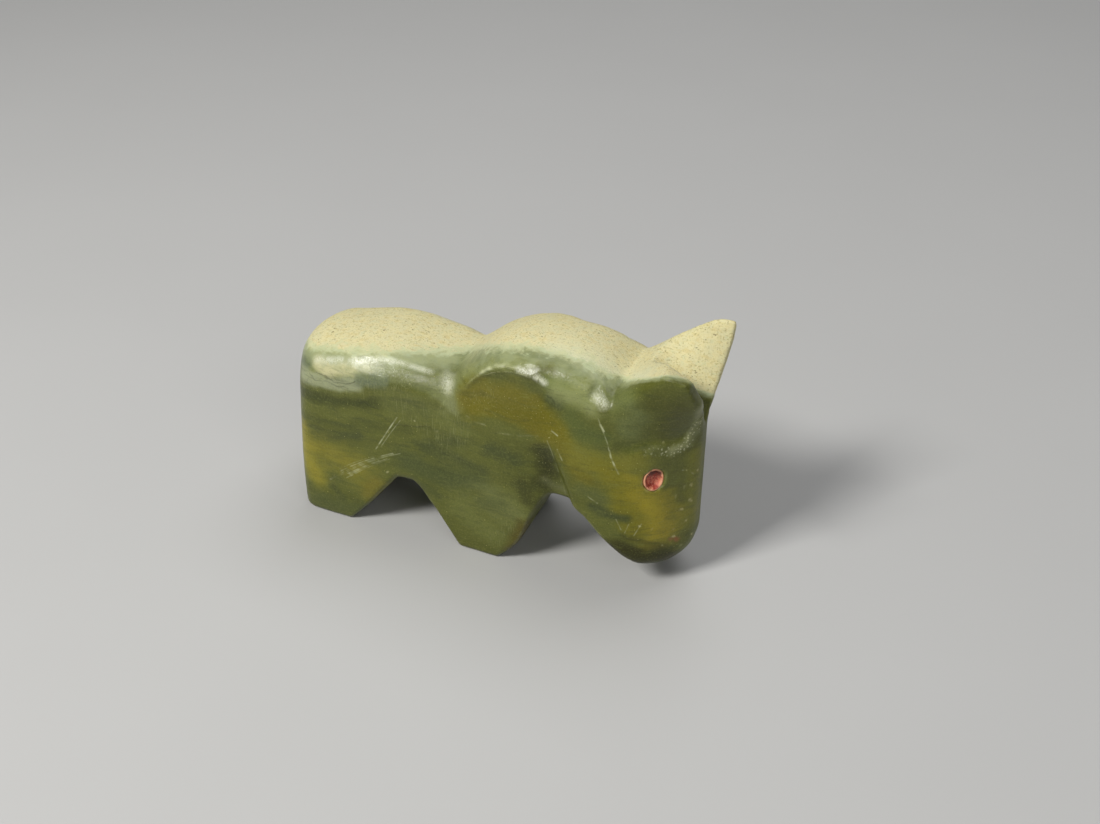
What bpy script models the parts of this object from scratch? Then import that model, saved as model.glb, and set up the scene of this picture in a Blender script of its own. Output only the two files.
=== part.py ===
"""A small stone animal, ground from one slab of banded stone, with two round inlaid eyes.

The animal faces +X, +Y is its left side, and its feet stand on Z = 0. The origin is under the middle of
the body. Lengths are in metres. The pose and the carving are shares of the length, width and height.
"""

import math

import bmesh
import bpy
from mathutils import Matrix, Vector

# Driving sizes
LENGTH = 0.0506
WIDTH = 0.0148
HEIGHT = 0.0316
EYE_DIAMETER = 0.0028
EYE_HOLE_DEPTH = 0.0015
EYE_RECESS = 0.0002
EYE_DISH = 0.0003
FIT_GAP = 0.0003

# Grinding radii
RUMP_EDGE = 0.0027
SHOULDER_EDGE = 0.0006
NECK_EDGE = 0.0020
EAR_EDGE = 0.0007
SOLE_EDGE = 0.0005
BELLY_EDGE = 0.0012
MUZZLE_EDGE = 0.0019
REAR_TOP_EDGE = 0.0027
REAR_HEEL_EDGE = 0.0017
EAR_TIP_EDGE = 0.0002

# Mesh steps
RING_SPACING = 0.00074
ARC_STEPS = 4
SIDE_STEPS = 17
CREASE_ROW = 10
TOP_STEPS = 4
UNDER_STEPS = 2
EYE_STEPS = 40

# Where the face ends, as a share of the length; only the ears lean out past it
FACE_END = 0.978

# Underside from the heel of the hind foot to the front of the muzzle: share of length, share of height
UNDERSIDE = [
    (0.000, 0.000), (0.146, 0.000), (0.158, 0.019), (0.200, 0.092), (0.255, 0.201), (0.288, 0.257),
    (0.320, 0.257), (0.372, 0.159), (0.430, 0.018), (0.438, 0.000), (0.534, 0.000), (0.545, 0.016),
    (0.591, 0.102), (0.634, 0.288), (0.664, 0.376), (0.700, 0.343), (0.743, 0.323), (0.792, 0.244),
    (0.848, 0.142), (0.881, 0.097), (0.921, 0.091), (0.952, 0.113), (0.970, 0.159), (0.978, 0.213),
]

# Top edge, one smooth form after another, which meet in the saddle notch and in the poll notch
RUMP_TOP = [
    (0.000, 0.686), (0.060, 0.700), (0.120, 0.722), (0.190, 0.743), (0.260, 0.748), (0.328, 0.738),
    (0.416, 0.727),
]
HUMP_TOP = [
    (0.416, 0.727), (0.439, 0.754), (0.476, 0.797), (0.516, 0.829), (0.555, 0.851), (0.625, 0.870),
    (0.686, 0.870), (0.743, 0.857), (0.804, 0.816),
]
EAR_TOP = [(0.804, 0.816), (0.862, 0.889), (0.921, 0.960), (0.941, 0.989), (0.957, 1.000), (0.978, 1.000)]
TOP_FORMS = (RUMP_TOP, HUMP_TOP, EAR_TOP)

# Rise of the middle of the back over its edges, as a share of the height
CROWN = [
    (0.00, 0.034), (0.20, 0.034), (0.31, 0.026), (0.41, 0.022), (0.56, 0.040), (0.70, 0.034), (0.80, 0.014),
    (0.88, 0.006), (0.978, 0.0),
]

# Half the width of the body and face, and of the ears' tops: share of length, share of half the width
BODY_PLAN = [
    (0.000, 0.300), (0.002, 0.430), (0.006, 0.640), (0.012, 0.800), (0.020, 0.890), (0.032, 0.950),
    (0.052, 0.980), (0.091, 0.990), (0.210, 1.000), (0.348, 0.960), (0.416, 0.930), (0.506, 0.945),
    (0.585, 0.960), (0.674, 0.940), (0.743, 0.935), (0.802, 0.915), (0.852, 0.855), (0.885, 0.750),
    (0.907, 0.655), (0.941, 0.435), (0.964, 0.275), (0.974, 0.180), (0.978, 0.110),
]
EAR_PLAN = [(0.800, 0.900), (0.860, 0.845), (0.920, 0.820), (0.978, 0.820)]

# Height of the crease under the ears, where the cheek ends
CREASE = [(0.780, 0.640), (0.850, 0.618), (0.889, 0.624), (0.929, 0.612), (0.955, 0.642), (0.978, 0.678)]
EAR_START = 0.800

# Scoop ground into the outer face of each ear: its depth as a share of half the width, and the rise of the
# ledge at its foot and its fade towards the rim as shares of the ear's height, and how far it takes to deepen
# as a share of the length
EAR_SCOOP = 0.125
LEDGE_RISE = 0.11
SCOOP_FADE = 0.75
SCOOP_RUN = 0.08

# How far the upper corners of the rear end lean in, as a share of the length
REAR_LEAN = 0.036

# Narrowing of the legs towards the soles and of the shoulder towards the back, as shares of half the width
LEG_TAPER = 0.010
SHOULDER_TAPER = 0.085

# Hollows ground into each side: from and to (share of length, share of height), depth as a share of half
# the width, reach to the rear and to the front as shares of the length, and whether it runs out at its start
SIDE_HOLLOWS = [
    ((0.418, 0.800), (0.423, 0.520), 0.090, 0.045, 0.030, False),
    ((0.698, 0.400), (0.652, 0.640), 0.170, 0.055, 0.012, False),
    ((0.668, 0.850), (0.694, 0.620), 0.050, 0.030, 0.035, True),
]

# Notch between the ears: where its floor starts and ends, the slope of its walls, and how far from its middle
# they turn upright
NOTCH_START = (0.846, 0.880)
NOTCH_END = (0.978, 0.670)
NOTCH_WALL = math.radians(29.3)
NOTCH_REACH = 0.0051

# Eyes: place on the side of the head, and the way they face
EYE_PLACE = (0.903, 0.503)
EYE_TURN = math.radians(46.0)
EYE_TILT = math.radians(6.0)


def smooth_line(points):
    """A smooth curve through points that rises and falls only where the points do."""
    xs = [p[0] for p in points]
    ys = [p[1] for p in points]
    steps = [b - a for a, b in zip(xs, xs[1:])]
    rises = [(b - a) / step for a, b, step in zip(ys, ys[1:], steps)]
    slopes = [rises[0]]
    for before, after, h0, h1 in zip(rises, rises[1:], steps, steps[1:]):
        if before * after <= 0.0:
            slopes.append(0.0)
        else:
            w0, w1 = 2 * h1 + h0, h1 + 2 * h0
            slopes.append((w0 + w1) / (w0 / before + w1 / after))
    slopes.append(rises[-1])

    def value(x):
        x = min(max(x, xs[0]), xs[-1])
        i = max(k for k in range(len(steps)) if xs[k] <= x or k == 0)
        t = (x - xs[i]) / steps[i]
        bend = slopes[i] * steps[i] * t * (1 - t) ** 2 - slopes[i + 1] * steps[i] * t * t * (1 - t)
        return ys[i] + (ys[i + 1] - ys[i]) * t * t * (3 - 2 * t) + bend

    return value


def ease(t):
    """0 to 1 with level ends."""
    t = min(max(t, 0.0), 1.0)
    return t * t * (3 - 2 * t)


underside = smooth_line(UNDERSIDE)
crown = smooth_line(CROWN)
body_plan = smooth_line(BODY_PLAN)
ear_plan = smooth_line(EAR_PLAN)
crease = smooth_line(CREASE)
top_curves = [(form[0][0], smooth_line(form)) for form in TOP_FORMS]
top_edge_radius = smooth_line([
    (0.00, RUMP_EDGE), (0.36, RUMP_EDGE), (0.46, NECK_EDGE), (0.51, SHOULDER_EDGE), (0.59, SHOULDER_EDGE),
    (0.67, NECK_EDGE), (0.82, NECK_EDGE), (0.92, EAR_EDGE), (1.0, EAR_EDGE),
])
low_edge_radius = smooth_line([
    (0.0, SOLE_EDGE), (0.14, SOLE_EDGE), (0.25, BELLY_EDGE), (0.34, BELLY_EDGE), (0.44, SOLE_EDGE),
    (0.54, SOLE_EDGE), (0.66, BELLY_EDGE), (0.76, BELLY_EDGE), (0.86, MUZZLE_EDGE), (1.0, MUZZLE_EDGE),
])


def top_line(share):
    """Height of the back's edge as a share of the height."""
    curve = [c for start, c in top_curves if start <= share or start == 0.0][-1]
    return curve(share)


def hollow_depth(share, height_share):
    """How far the side hollows cut in at a place on the side, as a share of half the width."""
    depth = 0.0
    for (x0, z0), (x1, z1), deepest, behind, ahead, closed in SIDE_HOLLOWS:
        along = (height_share - z0) / (z1 - z0)
        across = share - (x0 + (x1 - x0) * along)
        reach = behind if across < 0 else ahead
        fade = 1 - ease(along)
        if closed:
            fade = ease(2 * along) * ease(2 - 2 * along)
        depth += deepest * fade * math.exp(-((across / reach) ** 2))
    return depth


def side_width(share, height):
    """Half the width of the stone at a station and a height."""
    z = height / HEIGHT
    width = body_plan(share)
    width -= LEG_TAPER * (1 - ease(z / 0.35)) * ease(share / 0.05)
    shoulder = ease((share - 0.36) / 0.10) * (1 - ease((share - EAR_START + 0.05) / 0.06))
    width -= SHOULDER_TAPER * ease((z - 0.60) / 0.28) * shoulder
    if share > EAR_START:
        rise = (z - crease(share)) / (top_line(share) - crease(share))
        flare = math.sin(0.5 * math.pi * min(max(rise, 0.0), 1.0))
        width += (ear_plan(share) - width) * flare
        scoop = ease(rise / LEDGE_RISE) * (1 - ease((rise - LEDGE_RISE) / SCOOP_FADE))
        run = ease((share - EAR_START - 0.01) / SCOOP_RUN) * (1 - 0.6 * ease((share - 0.94) / 0.038))
        width -= EAR_SCOOP * scoop * run
    width -= hollow_depth(share, z)
    return width * WIDTH / 2


def round_off(gap, radius):
    """How far an outline draws in at a distance from a rounded end."""
    if gap >= radius:
        return 0.0
    return radius - math.sqrt(radius**2 - (radius - gap) ** 2)


def side_heights(share, low, high):
    """Rows up the side of a section: evenly spaced along the body, and drawn to the ledge under the ears."""
    foot = crease(share) * HEIGHT
    ledge = foot + LEDGE_RISE * (top_line(share) * HEIGHT - foot)
    drawn = ease((share - EAR_START + 0.04) / 0.05)
    rows = []
    for i in range(SIDE_STEPS):
        even = low + (high - low) * i / SIDE_STEPS
        if i <= CREASE_ROW:
            row = low + (foot - low) * i / CREASE_ROW
        else:
            row = ledge + (high - ledge) * (i - CREASE_ROW - 1) / (SIDE_STEPS - CREASE_ROW - 1)
        rows.append(even + (row - even) * drawn)
    return rows


def half_section(x):
    """(half width, height) points of the section at x, from the middle of the underside round to the back."""
    share = x / LENGTH
    tip = round_off(FACE_END * LENGTH - x, EAR_TIP_EDGE)
    low = underside(share) * HEIGHT + round_off(x, REAR_HEEL_EDGE)
    high = top_line(share) * HEIGHT - round_off(x, REAR_TOP_EDGE) - tip
    rise = crown(share) * HEIGHT

    def width(height):
        return side_width(share, height)

    low_round = min(low_edge_radius(share), 0.8 * width(low))
    high_round = min(top_edge_radius(share), 0.8 * width(high))
    side_low = low + low_round
    side_high = high - high_round
    points = []
    flat = width(low) - low_round
    for i in range(UNDER_STEPS):
        points.append((flat * i / UNDER_STEPS, low))
    for i in range(ARC_STEPS):
        angle = 0.5 * math.pi * i / ARC_STEPS
        height = low + low_round * (1 - math.cos(angle))
        points.append((width(height) - low_round * (1 - math.sin(angle)), height))
    for height in side_heights(share, side_low, side_high):
        points.append((width(height), height))
    for i in range(ARC_STEPS):
        angle = 0.5 * math.pi * i / ARC_STEPS
        height = side_high + high_round * math.sin(angle)
        points.append((width(height) - high_round * (1 - math.cos(angle)), height))
    flat = width(high) - high_round
    for i in range(TOP_STEPS + 1):
        points.append((flat * (1 - i / TOP_STEPS), high))
    widest = width(high)
    crowned = []
    for half, height in points:
        lift = rise * (1 - (half / widest) ** 2) if height > side_high and half < widest else 0.0
        crowned.append((half, height + lift))
    return crowned


def stations():
    """Places along the length where a section is taken: at each corner of the outlines and evenly between."""
    end = FACE_END * LENGTH
    xs = [REAR_TOP_EDGE * (1 - math.cos(0.5 * math.pi * i / 6)) for i in range(6)]
    marks = [REAR_TOP_EDGE] + [c * LENGTH for c in (0.146, 0.416, 0.443, 0.534, 0.678, 0.804, 0.964)]
    for a, b in zip(marks, marks[1:]):
        count = max(1, math.ceil((b - a) / RING_SPACING))
        xs += [a + (b - a) * i / count for i in range(count)]
    reach = end - marks[-1]
    xs += [marks[-1] + reach * math.sin(0.5 * math.pi * i / 5) for i in range(6)]
    return xs


def place(x, y, z):
    """A point of a section in the part's frame, with the lean of the rear corners and of the ears."""
    share = x / LENGTH
    height = z / HEIGHT
    ahead = (1 - FACE_END) * ease((share - 0.90) / 0.078) * ease((height - 0.66) / 0.34)
    corner = (2 * y / WIDTH) ** 2
    behind = REAR_LEAN * corner * (1 - ease(share / 0.30)) * ease((height - 0.08) / 0.70)
    return (x + (ahead + behind - 0.5) * LENGTH, y, z)


def close_end(bm, right, left):
    """Closes an end of the loft with level strips between its two sides."""
    first = UNDER_STEPS + ARC_STEPS
    last = first + SIDE_STEPS
    bm.faces.new(right[: first + 1] + left[1 : first + 1][::-1])
    for i in range(first, last):
        bm.faces.new((right[i], right[i + 1], left[i + 1], left[i]))
    bm.faces.new(right[last:] + left[last:-1][::-1])


def new_object(name, mesh, collection):
    obj = bpy.data.objects.new(name, mesh)
    collection.objects.link(obj)
    return obj


def make_body(collection):
    """The stone as a loft through its sections."""
    bm = bmesh.new()
    rings = []
    for x in stations():
        section = half_section(x)
        right = [bm.verts.new(place(x, -y, z)) for y, z in section]
        left = [bm.verts.new(place(x, y, z)) for y, z in section[1:-1]]
        rings.append((right, [right[0]] + left + [right[-1]]))
    for ring, following in zip(rings, rings[1:]):
        for side, next_side in zip(ring, following):
            for i in range(len(side) - 1):
                bm.faces.new((side[i], side[i + 1], next_side[i + 1], next_side[i]))
    close_end(bm, *rings[0])
    close_end(bm, *rings[-1])
    bmesh.ops.recalc_face_normals(bm, faces=bm.faces)
    mesh = bpy.data.meshes.new("stone_body")
    bm.to_mesh(mesh)
    bm.free()
    return new_object("stone_body", mesh, collection)


def cut(target, cutter):
    """Takes the cutter out of the target with a Boolean."""
    cutter.hide_render = True
    cutter.display_type = "WIRE"
    modifier = target.modifiers.new(cutter.name, "BOOLEAN")
    modifier.operation = "DIFFERENCE"
    modifier.solver = "EXACT"
    modifier.object = cutter


def make_notch_cutter(collection):
    """A long wedge whose lower edge is the floor of the notch between the ears, with upright sides above."""
    start = Vector(((NOTCH_START[0] - 0.5) * LENGTH, 0.0, NOTCH_START[1] * HEIGHT))
    end = Vector(((NOTCH_END[0] - 0.5) * LENGTH, 0.0, NOTCH_END[1] * HEIGHT))
    slope = (end - start).normalized()
    start -= slope * 0.2 * LENGTH
    end += slope * 0.2 * LENGTH
    turn = NOTCH_REACH / math.tan(NOTCH_WALL)
    high = 2 * HEIGHT
    section = [(0.0, 0.0), (NOTCH_REACH, turn), (NOTCH_REACH, high), (-NOTCH_REACH, high), (-NOTCH_REACH, turn)]
    bm = bmesh.new()
    ends = []
    for base in (start, end):
        ends.append([bm.verts.new(base + Vector((0, y, z))) for y, z in section])
    bm.faces.new(ends[0])
    bm.faces.new(ends[1][::-1])
    for i in range(len(section)):
        j = (i + 1) % len(section)
        bm.faces.new((ends[0][i], ends[1][i], ends[1][j], ends[0][j]))
    bmesh.ops.recalc_face_normals(bm, faces=bm.faces)
    mesh = bpy.data.meshes.new("ear_notch_cutter")
    bm.to_mesh(mesh)
    bm.free()
    return new_object("ear_notch_cutter", mesh, collection)


def eye_frame(side):
    """The place of an eye on the skin of the head, with Z pointing out of it; side is -1 right, 1 left."""
    x = EYE_PLACE[0] * LENGTH
    z = EYE_PLACE[1] * HEIGHT
    y = side * side_width(EYE_PLACE[0], z)
    out = Vector((
        math.cos(EYE_TILT) * math.sin(EYE_TURN),
        side * math.cos(EYE_TILT) * math.cos(EYE_TURN),
        math.sin(EYE_TILT),
    ))
    turn = out.to_track_quat("Z", "Y").to_matrix().to_4x4()
    return Matrix.Translation(Vector((x - LENGTH / 2, y, z))) @ turn


def make_eye_cutter(name, side, collection):
    """A drill of the eye's diameter that reaches from outside the skin to the hole's floor."""
    bm = bmesh.new()
    reach = 2 * EYE_HOLE_DEPTH
    bmesh.ops.create_cone(
        bm, cap_ends=True, segments=EYE_STEPS, radius1=EYE_DIAMETER / 2, radius2=EYE_DIAMETER / 2, depth=reach,
        matrix=Matrix.Translation((0, 0, reach / 2 - EYE_HOLE_DEPTH)),
    )
    mesh = bpy.data.meshes.new(name)
    bm.to_mesh(mesh)
    bm.free()
    drill = new_object(name, mesh, collection)
    drill.matrix_world = eye_frame(side)
    return drill


def make_eye(name, side, collection):
    """A turned inlay with a dished face, set in the hole with the fitting gap round it and under it."""
    radius = EYE_DIAMETER / 2 - FIT_GAP
    face = -EYE_RECESS
    floor = FIT_GAP - EYE_HOLE_DEPTH
    rim = 0.22 * radius
    dish = radius - rim
    profile = [(0.0, face - EYE_DISH)]
    profile += [(dish * math.sin(a), face - EYE_DISH * math.cos(a) ** 2) for a in (0.5, 1.0, 1.3)]
    profile += [(dish, face), (radius - 0.3 * rim, face), (radius, face - 0.5 * rim), (radius, floor), (0.0, floor)]
    mesh = bpy.data.meshes.new(name)
    mesh.from_pydata([(r, 0.0, z) for r, z in profile], [(i, i + 1) for i in range(len(profile) - 1)], [])
    eye = new_object(name, mesh, collection)
    screw = eye.modifiers.new("turned", "SCREW")
    screw.steps = screw.render_steps = EYE_STEPS // 2
    screw.use_merge_vertices = True
    screw.merge_threshold = 1e-6
    screw.use_smooth_shade = True
    eye.matrix_world = eye_frame(side)
    return eye


def material(name, colour, roughness):
    made = bpy.data.materials.new(name)
    made.use_nodes = True
    shader = made.node_tree.nodes["Principled BSDF"]
    shader.inputs["Base Color"].default_value = (*colour, 1.0)
    shader.inputs["Roughness"].default_value = roughness
    shader.inputs["Metallic"].default_value = 0.0
    return made


def main():
    for obj in list(bpy.data.objects):
        bpy.data.objects.remove(obj, do_unlink=True)
    parts = bpy.data.collections.new("stone_horse_fetish")
    cutters = bpy.data.collections.new("cutters")
    for collection in (parts, cutters):
        bpy.context.scene.collection.children.link(collection)

    stone = material("banded_green_stone", (0.16, 0.18, 0.07), 0.35)
    red = material("red_inlay", (0.48, 0.09, 0.06), 0.4)

    body = make_body(parts)
    body.data.materials.append(stone)
    cut(body, make_notch_cutter(cutters))
    for side, word in ((-1, "right"), (1, "left")):
        cut(body, make_eye_cutter(f"eye_drill_{word}", side, cutters))
        eye = make_eye(f"eye_inlay_{word}", side, parts)
        eye.data.materials.append(red)
    body.data.shade_smooth()
    body.data.set_sharp_from_angle(angle=math.radians(35))


main()
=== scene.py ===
import functools
import itertools
import math

import bmesh
import bpy
import numpy as np
from mathutils import Matrix, Vector


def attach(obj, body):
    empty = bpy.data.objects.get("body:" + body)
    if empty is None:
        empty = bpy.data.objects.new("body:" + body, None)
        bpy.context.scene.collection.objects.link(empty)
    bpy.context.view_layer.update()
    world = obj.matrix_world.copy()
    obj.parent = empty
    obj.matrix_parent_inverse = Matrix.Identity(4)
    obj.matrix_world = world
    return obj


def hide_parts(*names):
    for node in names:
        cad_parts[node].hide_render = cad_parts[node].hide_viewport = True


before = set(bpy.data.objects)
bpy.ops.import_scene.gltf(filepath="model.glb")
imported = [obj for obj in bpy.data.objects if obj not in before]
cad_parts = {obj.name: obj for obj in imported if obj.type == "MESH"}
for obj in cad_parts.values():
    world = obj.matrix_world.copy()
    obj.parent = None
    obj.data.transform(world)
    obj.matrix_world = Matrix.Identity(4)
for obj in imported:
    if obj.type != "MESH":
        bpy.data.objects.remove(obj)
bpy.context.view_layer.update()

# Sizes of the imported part, in millimetres
LENGTH = 50.6
WIDTH = 14.8
HEIGHT = 31.6
EYE_RADIUS = 1.4
EYE_HOLE_DEPTH = 1.5
MM = 0.001

# Grinding radii
RUMP_EDGE = 2.7
SHOULDER_EDGE = 0.6
NECK_EDGE = 2.0
EAR_EDGE = 0.7
SOLE_EDGE = 0.5
BELLY_EDGE = 1.2
MUZZLE_EDGE = 1.9
REAR_TOP_EDGE = 2.7
REAR_HEEL_EDGE = 1.7
EAR_TIP_EDGE = 0.2
ROUND_LIMIT = 0.8  # of the half width there

# Mesh steps
LOFT_SPACING = 0.4
REAR_STEPS = 14
FACE_STEPS = 9
ARC_STEPS = 7
SIDE_STEPS = 60
TOP_STEPS = 16
UNDER_STEPS = 8
SKIN_VOXEL = 0.27
SKIN_SMOOTHING = 4

# Where the face ends and where a section always falls, as shares of the length
FACE_END = 0.978
STATION_MARKS = (0.146, 0.416, 0.443, 0.534, 0.678, 0.804, 0.964)

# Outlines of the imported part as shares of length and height; its jaw line is up to 1.1 mm higher than this one,
# which follows the photograph
UNDERSIDE = [
    (0, 0), (0.146, 0), (0.158, 0.019), (0.2, 0.092), (0.255, 0.201), (0.288, 0.257), (0.32, 0.257), (0.372, 0.159),
    (0.43, 0.018), (0.438, 0), (0.534, 0), (0.545, 0.016), (0.591, 0.102), (0.634, 0.276), (0.664, 0.342), (0.7, 0.328),
    (0.743, 0.302), (0.792, 0.214), (0.848, 0.124), (0.881, 0.094), (0.921, 0.091), (0.952, 0.113), (0.97, 0.159),
    (0.978, 0.213),
]
RUMP_TOP = [
    (0, 0.686), (0.06, 0.7), (0.12, 0.722), (0.19, 0.743), (0.26, 0.748), (0.328, 0.738), (0.416, 0.727),
]
HUMP_TOP = [
    (0.416, 0.727), (0.439, 0.754), (0.476, 0.797), (0.516, 0.829), (0.555, 0.851), (0.625, 0.87), (0.686, 0.87),
    (0.743, 0.857), (0.804, 0.816),
]
EAR_TOP = [(0.804, 0.816), (0.862, 0.889), (0.921, 0.96), (0.941, 0.989), (0.957, 1), (0.978, 1)]
TOP_FORMS = (RUMP_TOP, HUMP_TOP, EAR_TOP)
CROWN = [
    (0, 0.034), (0.2, 0.034), (0.31, 0.026), (0.41, 0.022), (0.56, 0.04), (0.7, 0.034), (0.8, 0.014), (0.88, 0.006),
    (0.978, 0),
]
BODY_PLAN = [
    (0, 0.3), (0.002, 0.43), (0.006, 0.64), (0.012, 0.8), (0.02, 0.89), (0.032, 0.95), (0.052, 0.98), (0.091, 0.99),
    (0.21, 1), (0.348, 0.96), (0.416, 0.93), (0.506, 0.945), (0.585, 0.96), (0.674, 0.94), (0.743, 0.935),
    (0.802, 0.915), (0.852, 0.855), (0.885, 0.75), (0.907, 0.655), (0.941, 0.435), (0.964, 0.275), (0.974, 0.18),
    (0.978, 0.11),
]
EAR_PLAN = [(0.8, 0.9), (0.86, 0.845), (0.92, 0.82), (0.978, 0.82)]
CREASE = [(0.78, 0.64), (0.85, 0.618), (0.889, 0.624), (0.929, 0.612), (0.955, 0.642), (0.978, 0.678)]
EAR_START = 0.800
REAR_LEAN = 0.036
LEG_TAPER = 0.010
SHOULDER_TAPER = 0.085
EAR_SCOOP = 0.125
SCOOP_TIP_LOSS = 0.6

# Where each form sets in along the length or up the height: the start of its rise and the rise's reach
REAR_ALONG, REAR_UP = (0.0, 0.30), (0.08, 0.70)
EAR_TIP_ALONG, EAR_TIP_UP = (0.90, 0.078), (0.66, 0.34)
HEEL_ALONG, LEG_UP = (0.0, 0.05), (0.0, 0.35)
SHOULDER_ALONG, SHOULDER_END, SHOULDER_UP = (0.36, 0.10), (EAR_START - 0.05, 0.06), (0.60, 0.28)
SCOOP_ALONG, SCOOP_TIP = (EAR_START + 0.01, 0.08), (0.94, 0.038)
LEDGE_UP, SCOOP_FADE = (0.0, 0.11), (0.11, 0.75)

# Hollows of the sides: from and to, deepest, reach behind and ahead, and whether the hollow closes at its top
SIDE_HOLLOWS = [
    ((0.418, 0.8), (0.423, 0.52), 0.09, 0.045, 0.03, False),
    ((0.698, 0.4), (0.652, 0.64), 0.17, 0.055, 0.012, False),
    ((0.668, 0.85), (0.694, 0.62), 0.05, 0.03, 0.035, True),
]

# The cut between the ears
NOTCH_LINE = ((0.846, 0.880), (0.978, 0.670))
NOTCH_WALL = math.radians(29.3)
NOTCH_OFFSET = 0.3
NOTCH_REACH = 5.1
NOTCH_SHARES = [i * 0.04 - 0.6 for i in range(61)]
FAR_WALL = 5.5
FAR_WALL_RISE = 0.4
FAR_RIM = [
    (10, 24.2), (17.5, 27.9), (18.5, 28.4), (20, 29.3), (21.5, 30.4), (22.8, 31.3), (24, 31.7), (34, 32),
]

# Where the near ear was ground shorter: a point on each flat and the way it faces
NEAR_EAR_FLATS = [((22.2, -4.2, 29.6), (0.22, 0.25, 0.94)), ((23.7, -5.8, 29.4), (0.94, 0.0, 0.33))]
FLAT_BLOCK = 6.0

EYE_PLACE = (0.903, 0.503)
EYE_OVAL = (0.86, 1.02)
EYE_TURN = math.radians(46.0)
EYE_TILT = math.radians(6.0)


def smooth_line(points):
    """A smooth curve through points that rises and falls only where the points do."""
    xs, ys = zip(*points)
    steps = [b - a for a, b in zip(xs, xs[1:])]
    rises = [(b - a) / step for a, b, step in zip(ys, ys[1:], steps)]
    slopes = [rises[0]]
    for before, after, h0, h1 in zip(rises, rises[1:], steps, steps[1:]):
        if before * after <= 0.0:
            slopes.append(0.0)
        else:
            w0, w1 = 2 * h1 + h0, h1 + 2 * h0
            slopes.append((w0 + w1) / (w0 / before + w1 / after))
    slopes.append(rises[-1])

    def value(x):
        x = min(max(x, xs[0]), xs[-1])
        i = max(k for k in range(len(steps)) if xs[k] <= x or k == 0)
        t = (x - xs[i]) / steps[i]
        bend = slopes[i] * steps[i] * t * (1 - t) ** 2 - slopes[i + 1] * steps[i] * t * t * (1 - t)
        return ys[i] + (ys[i + 1] - ys[i]) * t * t * (3 - 2 * t) + bend

    return value


def ease(t):
    """0 to 1 with level ends."""
    t = min(max(t, 0.0), 1.0)
    return t * t * (3 - 2 * t)


def ramp(value, span):
    """0 up to the start of a span and 1 beyond its reach."""
    start, reach = span
    return ease((value - start) / reach)


underside = smooth_line(UNDERSIDE)
crown = smooth_line(CROWN)
body_plan = smooth_line(BODY_PLAN)
ear_plan = smooth_line(EAR_PLAN)
crease = smooth_line(CREASE)
top_curves = [(form[0][0], smooth_line(form)) for form in TOP_FORMS]
top_edge_radius = smooth_line([
    (0, RUMP_EDGE), (0.36, RUMP_EDGE), (0.46, NECK_EDGE), (0.51, SHOULDER_EDGE), (0.59, SHOULDER_EDGE),
    (0.67, NECK_EDGE), (0.82, NECK_EDGE), (0.92, EAR_EDGE), (1, EAR_EDGE),
])
low_edge_radius = smooth_line([
    (0, SOLE_EDGE), (0.14, SOLE_EDGE), (0.25, BELLY_EDGE), (0.34, BELLY_EDGE), (0.44, SOLE_EDGE),
    (0.54, SOLE_EDGE), (0.66, BELLY_EDGE), (0.76, BELLY_EDGE), (0.86, MUZZLE_EDGE), (1, MUZZLE_EDGE),
])


def top_line(share):
    """Height of the back's edge as a share of the height."""
    return [curve for start, curve in top_curves if start <= share or start == 0][-1](share)


def hollow_depth(share, height_share):
    """How far the side hollows cut in at a place on the side, as a share of half the width."""
    depth = 0.0
    for (x0, z0), (x1, z1), deepest, behind, ahead, closed in SIDE_HOLLOWS:
        along = (height_share - z0) / (z1 - z0)
        across = share - (x0 + (x1 - x0) * along)
        reach = behind if across < 0 else ahead
        fade = 1 - ease(along)
        if closed:
            fade = ease(2 * along) * ease(2 - 2 * along)
        depth += deepest * fade * math.exp(-((across / reach) ** 2))
    return depth


def side_width(share, height):
    """Half the width of the stone at a station and a height."""
    z = height / HEIGHT
    width = body_plan(share)
    width -= LEG_TAPER * (1 - ramp(z, LEG_UP)) * ramp(share, HEEL_ALONG)
    shoulder = ramp(share, SHOULDER_ALONG) * (1 - ramp(share, SHOULDER_END))
    width -= SHOULDER_TAPER * ramp(z, SHOULDER_UP) * shoulder
    if share > EAR_START:
        rise = (z - crease(share)) / (top_line(share) - crease(share))
        flare = math.sin(0.5 * math.pi * min(max(rise, 0.0), 1.0))
        width += (ear_plan(share) - width) * flare
        scoop = ramp(rise, LEDGE_UP) * (1 - ramp(rise, SCOOP_FADE))
        run = ramp(share, SCOOP_ALONG) * (1 - SCOOP_TIP_LOSS * ramp(share, SCOOP_TIP))
        width -= EAR_SCOOP * scoop * run
    width -= hollow_depth(share, z)
    return width * WIDTH / 2


def round_off(gap, radius):
    """How far an outline draws in at a distance from a rounded end."""
    if gap >= radius:
        return 0.0
    return radius - math.sqrt(radius**2 - (radius - gap) ** 2)


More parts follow.
